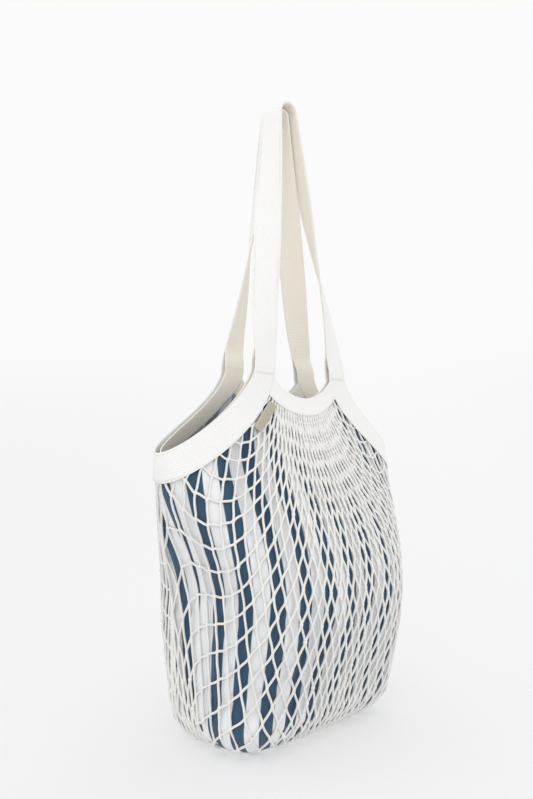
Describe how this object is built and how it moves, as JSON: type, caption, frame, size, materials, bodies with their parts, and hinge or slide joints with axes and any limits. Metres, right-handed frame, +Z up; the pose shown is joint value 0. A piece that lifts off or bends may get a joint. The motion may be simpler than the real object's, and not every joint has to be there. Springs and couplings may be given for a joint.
{
  "type": "mesh produce bag",
  "caption": "Lined net tote for produce: knotted cotton mesh over a striped cloth lining, scooped tape rim and two long shoulder handles.",
  "frame": {"origin": "centre of the footprint, on the surface the bag stands on", "axes": "+Z up; X across the broad faces; -Y is the front face, with the label"},
  "size_m": [0.3729, 0.2, 0.697],
  "materials": {
    "net_twine": "matt knotted cotton twine",
    "lining_stripe": "matt striped cotton, wrong side paler",
    "tape_white": "matt twill tape",
    "tape_cream": "matt ribbed tape",
    "thread": "matt sewing thread",
    "label_weave": "matt woven label, blank"
  },
  "bodies": {
    "bag": {"net_body": "net_twine", "lining_front_panel": "lining_stripe", "lining_back_panel": "lining_stripe", "lining_base": "lining_stripe", "left_side_tape_outer": "tape_white", "left_side_tape_inner": "tape_white", "right_side_tape_outer": "tape_white", "right_side_tape_inner": "tape_white", "front_scoop_tape_outer": "tape_white", "front_scoop_tape_inner": "tape_white", "back_scoop_tape_outer": "tape_white", "back_scoop_tape_inner": "tape_white", "front_left_bar_tack": "thread", "front_right_bar_tack": "thread", "back_left_bar_tack": "thread", "back_right_bar_tack": "thread"},
    "front_handle": {"front_handle_outer": "tape_white", "front_handle_inner": "tape_cream"},
    "back_handle": {"back_handle_outer": "tape_white", "back_handle_inner": "tape_cream"},
    "label": {"label_tag": "label_weave"}
  },
  "joints": [
    {"name": "front_handle_fold", "type": "hinge", "parent": "bag", "child": "front_handle", "pos_m": [0, -0.0274, 0.3954], "axis": [1, 0, 0], "range_deg": [0, 155]},
    {"name": "back_handle_fold", "type": "hinge", "parent": "bag", "child": "back_handle", "pos_m": [0, 0.0274, 0.3954], "axis": [-1, 0, 0], "range_deg": [0, 155]},
    {"name": "label_flap", "type": "hinge", "parent": "bag", "child": "label", "pos_m": [-0.0711, -0.03095, 0.34246], "axis": [-0.7087, -0.117, -0.6957], "range_deg": [0, 120]}
  ]
}
